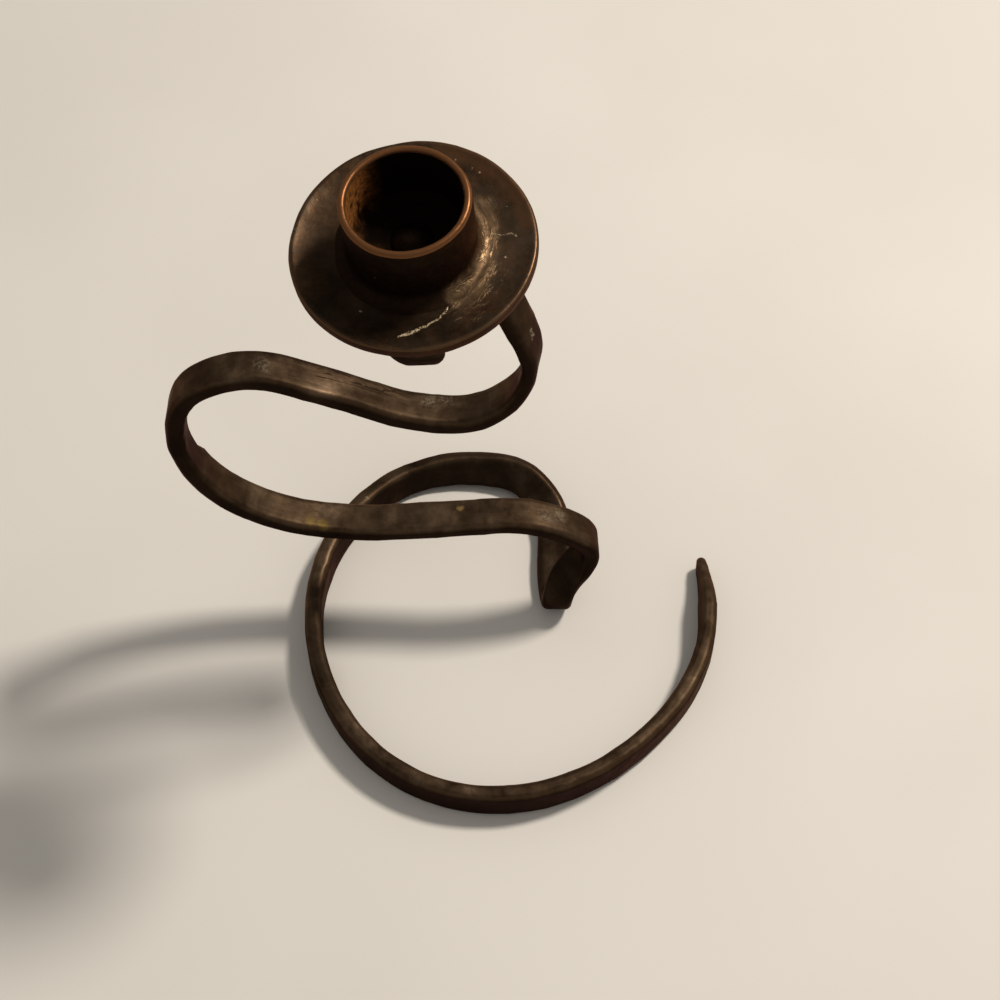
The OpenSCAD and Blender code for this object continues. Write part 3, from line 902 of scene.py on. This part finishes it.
@iron
def pan_iron(n):
    place, flat, radius, height = seat_reading(n)
    skin = n.group(forge_scale, place, patch_size=0.013, flake_size=0.0028, dark=(0.026, 0.0165, 0.0105, 1),
                   middle=(0.052, 0.034, 0.021, 1), pale=(0.085, 0.056, 0.035, 1), roughness=0.44)
    rim = n.ramp(radius, (PAN_D / 2 - 0.9) * MM, (PAN_D / 2 - 0.35) * MM)
    top_of_rim = n.ramp(height, (PAN_T + PAN_RISE - 0.9) * MM, (PAN_T + PAN_RISE - 0.5) * MM)
    side = n.times(rim, n.opposite(top_of_rim))
    rubbed = n.group(edge_wear, place, edge=n.times(rim, top_of_rim), spot_size=0.004)["Mask"]
    bloom = n.group(red_rust, place, bloom_size=0.0045, amount=0.6)
    dots = n.group(pale_specks, place, spacing=0.0032, speck_size=0.09, amount=0.16)["Mask"]
    upward = n.group(settled_dust, place, normal=surface_normal(n), patch_size=0.008, low=0.0,
                     high=0.75)["Mask"]
    # Whatever on the pan faces sideways or down, above all its underside, is darkened to near black: painted
    # shade, so that the top looks lit; the rim's side gets less of it
    sooty = n.opposite(n.most(upward, n.times(side, 0.7)))
    colour = n.laid(skin["Color"], (RIM_SHADE, side, 0.6), (bloom["Color"], bloom["Mask"], 0.08),
                    (SOOT, sooty, 0.85))

    top_side = n.ramp(height, (PAN_T - 0.4) * MM, (PAN_T - 0.05) * MM)
    # Painted shadow of the socket, falling on the pan's front left
    sooted = near(n, path_distance(n, ragged_place(n, flat, 120.0, 5.0), SOOTED_PATH), 2.0, 8.0)
    browned = near(n, path_distance(n, ragged_place(n, flat, 260.0, 3.0), BROWN_RIM_PATH), 0.4, 2.6)
    left = n.group(dried_crust, flat)
    crust, fibres, flecks = (n.times(left[name], top_side) for name in ("Crust", "Fibres", "Flecks"))
    broken = n.times(n.ramp(n.noise(flat, 1500.0, 3.0, 0.7), 0.4, 0.56), top_side)
    line = ragged_place(n, flat, 900.0, 0.9)
    streak = n.most(near(n, path_distance(n, line, STREAK_PATH), 0.1, 0.5),
                    near(n, path_distance(n, line, FINE_STREAK_PATH), 0.0, 0.34))
    thin = n.times(near(n, path_distance(n, line, THIN_STREAK_PATH), 0.0, 0.3), 0.55)
    pale = n.times(spots(n, line, PAN_SPECKS, 0.0, 0.36), 0.7)
    streak = n.times(n.most(n.most(streak, thin), pale), broken)
    colour = n.laid(colour, (SOOT, n.times(sooted, top_side), 0.62),
                    (RIM_BROWN, n.times(browned, top_side), 0.62), (CRUST_BROWN, crust, 0.8),
                    (CRUST_GOLD, fibres, 0.45), (CRUST_GOLD, flecks, 0.42), (STREAK_WHITE, streak, 0.95),
                    (WORN_BROWN, rubbed, 0.75), (OLD_WAX, n.times(dots, top_side), 0.3))

    rough = n.minus(skin["Roughness"], n.times(rubbed, 0.09))
    rough = n.plus(rough, n.times(n.most(crust, flecks), 0.14), clamp=True)
    metallic = n.minus(0.7, n.times(n.most(streak, crust), 0.6), clamp=True)
    raised = n.plus(skin["Height"], n.times(fibres, 1.2))
    raised = n.plus(raised, n.times(n.most(flecks, streak), 1.2))
    return colour, rough, metallic, raised, 0.55, 0.00016


@iron
def socket_iron(n):
    place, flat, radius, height = seat_reading(n)
    skin = n.group(forge_scale, place, patch_size=0.009, flake_size=0.0025, dark=(0.016, 0.0098, 0.0062, 1),
                   middle=(0.03, 0.018, 0.011, 1), pale=(0.052, 0.032, 0.02, 1), roughness=0.46)
    lip_top = (PAN_T + SOCKET_H) * MM
    lip = n.ramp(height, lip_top - 1.3 * MM, lip_top - 0.5 * MM)
    rubbed = n.group(edge_wear, place, edge=lip, spot_size=0.0036, amount=0.7)["Mask"]
    bloom = n.group(red_rust, place, bloom_size=0.004, amount=0.92)
    dots = n.group(pale_specks, place, spacing=0.003, speck_size=0.1, amount=0.1)["Mask"]
    bore = n.fade(radius, (SOCKET_BORE / 2 + 0.1) * MM, (SOCKET_BORE / 2 + SOCKET_WALL - 0.5) * MM)
    below_lip = n.fade(height, lip_top - 1.2 * MM, lip_top - 0.5 * MM)
    outside = n.times(n.opposite(bore), below_lip)
    inside = n.times(bore, below_lip)
    # Soot on the outside wall all round, and more near black on the side towards 225°, away from the lamp:
    # painted shade
    smoked = n.plus(0.45, n.times(side_facing(n, flat, 225.0, -0.2, 0.8), 0.35))
    # The inside of the bore is laid near black: soot, and painted shade deep in the bore
    colour = n.laid(skin["Color"], (bloom["Color"], n.times(bloom["Mask"], outside), 0.08),
                    (SOOT, outside, smoked), (SOOT, inside, 0.93))

    wander = n.times(n.minus(n.noise(place, 260.0, 3.0), 0.5), 7.0 * MM)
    upper_wall = n.ramp(n.plus(height, wander), lip_top - 14.0 * MM, lip_top - 9.0 * MM)
    rusty = n.times(n.times(inside, upper_wall), side_facing(n, flat, 186.0, 0.3, 0.85))
    eaten = near(n, path_distance(n, ragged_place(n, place, 420.0, 3.0), EATEN_PATH), 0.3, 1.1)
    foot = n.times(n.fade(height, (PAN_T + 1.0) * MM, (PAN_T + 3.4) * MM), outside)
    left = n.group(dried_crust, flat)
    crust, fibres = (n.times(left[name], foot) for name in ("Crust", "Fibres"))
    colour = n.laid(colour, (bloom["Color"], bloom["Mask"], n.times(rusty, 0.95)),
                    (SOOT, n.times(eaten, inside), 0.9), (CRUST_BROWN, crust, 0.8),
                    (CRUST_GOLD, fibres, 0.45), (WORN_COPPER, rubbed, 0.85),
                    (OLD_WAX, n.times(dots, outside), 0.35))

    rough = n.minus(skin["Roughness"], n.times(rubbed, 0.085))
    rough = n.plus(rough, n.times(inside, 0.3), clamp=True)
    pitted = n.times(n.times(bloom["Pits"], rusty), 0.4)
    raised = n.plus(n.minus(skin["Height"], pitted), n.times(fibres, 1.2))
    return colour, rough, n.minus(0.7, n.times(rusty, 0.5)), raised, 0.55, 0.00016


@iron
def rivet_iron(n):
    place, _, radius, height = seat_reading(n)
    skin = n.group(forge_scale, place, patch_size=0.005, flake_size=0.0016, dark=(0.005, 0.0032, 0.0022, 1),
                   middle=(0.011, 0.007, 0.0046, 1), pale=(0.022, 0.014, 0.009, 1), roughness=0.55)
    crown = n.fade(radius, 0.5 * MM, RIVET_HEAD_D / 2 * 0.8 * MM)
    rubbed = n.group(edge_wear, place, edge=crown, spot_size=0.0018, amount=0.35)["Mask"]
    bloom = n.group(red_rust, place, bloom_size=0.003, amount=0.5)
    # The rivet head inside the socket is darkened to near black: painted shade at the bottom of the bore, with
    # soot
    colour = n.laid(skin["Color"], (bloom["Color"], bloom["Mask"], 0.12), (WORN_BROWN, rubbed, 0.2),
                    (SOOT, n.ramp(height, 0.0, PAN_T * MM), 0.85))
    metallic = n.minus(0.7, n.times(bloom["Mask"], 0.3))
    return colour, skin["Roughness"], metallic, skin["Height"], 0.5, 0.00014


# Pieces

def even_points(points, step):
    """The points of a profile in even steps, as (radius, 0, height) in metres."""
    points = np.array(points, float)
    run = np.concatenate([[0], np.cumsum(np.linalg.norm(np.diff(points, axis=0), axis=1))])
    at = np.linspace(0, run[-1], int(run[-1] / step))
    radius, height = (np.interp(at, run, column) for column in points.T)
    return np.column_stack([radius, np.zeros(len(at)), height]) * MM


def arc(x, z, r, start, end, steps=14):
    """Points of an arc in the half section, by angle in degrees from +radius towards +height."""
    return [(x + r * math.cos(math.radians(a)), z + r * math.sin(math.radians(a)))
            for a in np.linspace(start, end, steps)]


def pan_section():
    half, round_r, top = PAN_D / 2, PAN_T / 2, PAN_T + PAN_RISE
    edge = arc(half - round_r, top - round_r, round_r, RIM_MEETS_DISH, 0)
    dish_start, dish_end = PAN_FLOOR_D / 2, edge[0][0]
    dish = []
    for u in np.linspace(0, 1, 14, endpoint=False):
        dish.append((mix(dish_start, dish_end, u), mix(PAN_T, edge[0][1], u ** DISH_CURVE)))
    return [(0, PAN_T)] + dish + edge + arc(half - round_r, round_r, round_r, 0, -90) + [(0, 0)]


def socket_section():
    r, lip_r = SOCKET_BORE / 2, SOCKET_WALL / 2
    corner, base = SOCKET_CORNER_R, PAN_T
    return ([(0, base + SOCKET_FLOOR)] + arc(r - corner, base + SOCKET_FLOOR + corner, corner, -90, 0)
            + arc(r + lip_r, base + SOCKET_H - lip_r, lip_r, 180, 0)
            + arc(FOOT_R, base + FLARE_R, FLARE_R, 180, FLARE_END)
            + [(FOOT_R + FOOT_RUN_OUT, base - FOOT_SUNK), (0, base - FOOT_SUNK)])


def rivet_section():
    half = RIVET_HEAD_D / 2
    ball = (half * half + RIVET_HEAD_H ** 2) / (2 * RIVET_HEAD_H)
    lean = math.degrees(math.asin(half / ball))
    upper, lower = PAN_T + SOCKET_FLOOR, -TONGUE_T
    top_dome = arc(0, upper + RIVET_HEAD_H - ball, ball, 90, 90 - lean)
    low_dome = arc(0, lower - RIVET_HEAD_H + ball, ball, lean - 90, -90)
    return top_dome + [(RIVET_D / 2, upper), (RIVET_D / 2, lower)] + low_dome


def rounded_end(half, r, from_end):
    """Half size of the bar near an end that is rounded over with radius r."""
    short = np.maximum(r - from_end, 0)
    return np.minimum(half, half - r + np.sqrt(np.maximum(r * r - short * short, 0)))


def nick(centres):
    """How much the back edge stands in from the nick in the left bend upwards."""
    above = (centres[:, 2] - NICK_Z) / NICK_FADE
    cut = np.where((above > 0) & (centres[:, 0] < NICK_X), np.clip(1 - above, 0, 1) * NICK_DEPTH, 0)
    return np.convolve(cut, np.full(7, 1 / 7), mode="same")


def capped(rows, shrink=False):
    """Repeats the first and last rows so that the ends close; shrink scales the repeats down to nothing."""
    scale = np.array(CAP_SHARES) if shrink else np.ones(len(CAP_SHARES))
    first = np.multiply.outer(scale, rows[0])
    last = np.multiply.outer(scale, rows[-1])
    return np.concatenate([first[::-1], rows, last])


def worked(hammer, wave, scale, seed):
    """Values of the hammered skin, each pair as its size and depth in millimetres."""
    values = {"Seed": seed}
    for label, (size, depth) in (("Hammer", hammer), ("Wave", wave), ("Scale", scale)):
        values[label + " Size"] = size * MM
        values[label + " Depth"] = depth * MM
    return values


def forge_bar(material):
    """The bar, and the middle of its floor plan, which stands at the part's origin."""
    centres, wides, flats, sizes, along = bar_route()
    from_tip = along[-1] - along
    half_t = rounded_end(rounded_end(sizes[:, 1], TAIL_R, along), EDGE_R, from_tip)
    tail_w = rounded_end(sizes[:, 0], TAIL_R, along)
    left_w = rounded_end(tail_w, LEFT_CORNER_R, from_tip)
    right_w = rounded_end(tail_w, RIGHT_CORNER_R, from_tip) - nick(centres)
    half_w = (left_w + right_w) / 2
    centres = centres + wides * ((left_w - right_w) / 2)[:, None]
    far = reach(wides, flats, np.column_stack([half_w, half_t]))
    low, high = (centres - far).min(axis=0), (centres + far).max(axis=0)
    middle = np.array([(low[0] + high[0]) / 2, (low[1] + high[1]) / 2, 0])
    bar = grown("forged_bar_hammered", capped(centres - middle) * MM,
                {"wide": capped(wides), "flat": capped(flats), "half_w": capped(half_w, True) * MM,
                 "half_t": capped(half_t, True) * MM, "along": capped(along) * MM},
                flat_bar_tree(),
                {"Wide Side Steps": 20, "Narrow Side Steps": 12, "Edge Radius": WORN_EDGE_R * MM,
                 "Material": material,
                 **worked(hammer=(11, 0.2), wave=(26, 0.2), scale=(3, 0.04), seed=3.7)})
    return bar, middle


def turn_piece(name, section, material, steps, skin, tree, middle, joint_height=PAN_T, rim_sag=0.0):
    """Turns a section round the seat's axis; no hammering where the socket's foot meets the pan. A joint height
    far below a piece leaves all of it hammered."""
    return grown(name, even_points(section, PROFILE_STEP), {}, tree,
                 {"Turn": (SEAT_TILT, -SEAT_LEAN, 0.0), "Seat": tuple((np.array(SEAT) - middle) * MM),
                  "Steps Round": steps, "Joint Radius": FOOT_R * MM, "Joint Height": joint_height * MM,
                  "Rim Sag": rim_sag, "Material": material, **skin})


bar, middle = forge_bar(forged_iron)
turning = turned_tree()
pan = turn_piece("drip_pan_dished", pan_section(), pan_iron, 256,
                 worked(hammer=(9, 0.07), wave=(18, 0.12), scale=(2.2, 0.03), seed=11.3),
                 turning, middle, rim_sag=0.12)
socket = turn_piece("candle_socket_turned", socket_section(), socket_iron, 192,
                    worked(hammer=(6, 0.08), wave=(14, 0.14), scale=(2, 0.04), seed=5.9), turning, middle)
rivet = turn_piece("rivet_hammered", rivet_section(), rivet_iron, 64,
                   worked(hammer=(3.4, 0.12), wave=(6, 0.1), scale=(1.5, 0.03), seed=2.1),
                   turning, middle, joint_height=-PAN_D)

for piece, node, slot in ((bar, "forged_bar", "forged_iron"), (pan, "drip_pan", "pan_iron"),
                          (socket, "candle_socket", "socket_iron"), (rivet, "rivet", "rivet_iron")):
    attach(piece, "root")
    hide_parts(node)


# Floor, light and camera: lengths in metres, but the camera's place in millimetres and its tilt in degrees

FLOOR_HALF = 3.0
FLOOR_TONES = ((0.72, 0.68, 0.62, 1), (0.76, 0.72, 0.66, 1))
ROOM_TONE = (1.0, 0.97, 0.93, 1)
ROOM_LIGHT = 0.36
LAMP_TONE = (1.0, 0.93, 0.84)
LAMP_DIRECTION = (0.498, 0.311, 0.809)
LAMP_AIM = (0, 0, 0.05)
LAMP_DISTANCE = 1.3
LAMP_SIZE = 0.22
LAMP_POWER = 13.5
CAMERA_PLACE = (10.69, -236.729, 413.0)
CAMERA_TILT = 34
CAMERA_LENS = 64.8


def make_floor():
    material, n, shader = new_material("pale_table")
    place = n.add("ShaderNodeTexCoord").outputs["Object"]
    cloud = n.noise(place, 7.0, 3.0)
    n.feed(shader.inputs["Base Color"], n.blend(n.ramp(cloud, 0.35, 0.65), *FLOOR_TONES))
    shader.inputs["Roughness"].default_value = 0.7
    mesh = bpy.data.meshes.new("floor")
    corners = [(x * FLOOR_HALF, y * FLOOR_HALF, 0) for x, y in ((-1, -1), (1, -1), (1, 1), (-1, 1))]
    mesh.from_pydata(corners, [], [(0, 1, 2, 3)])
    mesh.materials.append(material)
    in_scene("floor", mesh)


def make_light():
    world = bpy.data.worlds.new("room")
    world.use_nodes = True
    backdrop = world.node_tree.nodes["Background"]
    backdrop.inputs["Color"].default_value = ROOM_TONE
    backdrop.inputs["Strength"].default_value = ROOM_LIGHT
    bpy.context.scene.world = world
    lamp = bpy.data.lights.new("key", "AREA")
    lamp.shape = "DISK"
    lamp.size = LAMP_SIZE
    lamp.energy = LAMP_POWER
    lamp.color = LAMP_TONE
    thing = in_scene("key", lamp)
    towards = Vector(LAMP_DIRECTION).normalized()
    thing.location = towards * LAMP_DISTANCE + Vector(LAMP_AIM)
    thing.rotation_euler = towards.to_track_quat("Z", "Y").to_euler()


def make_camera():
    camera = bpy.data.cameras.new("camera")
    camera.lens = CAMERA_LENS
    camera.sensor_width = 36
    camera.clip_start = 0.01
    thing = in_scene("camera", camera)
    thing.location = [c * MM for c in CAMERA_PLACE]
    thing.rotation_euler = (math.radians(CAMERA_TILT), 0, 0)
    bpy.context.scene.camera = thing


make_floor()
make_light()
make_camera()
bpy.context.scene.view_settings.view_transform = "Standard"
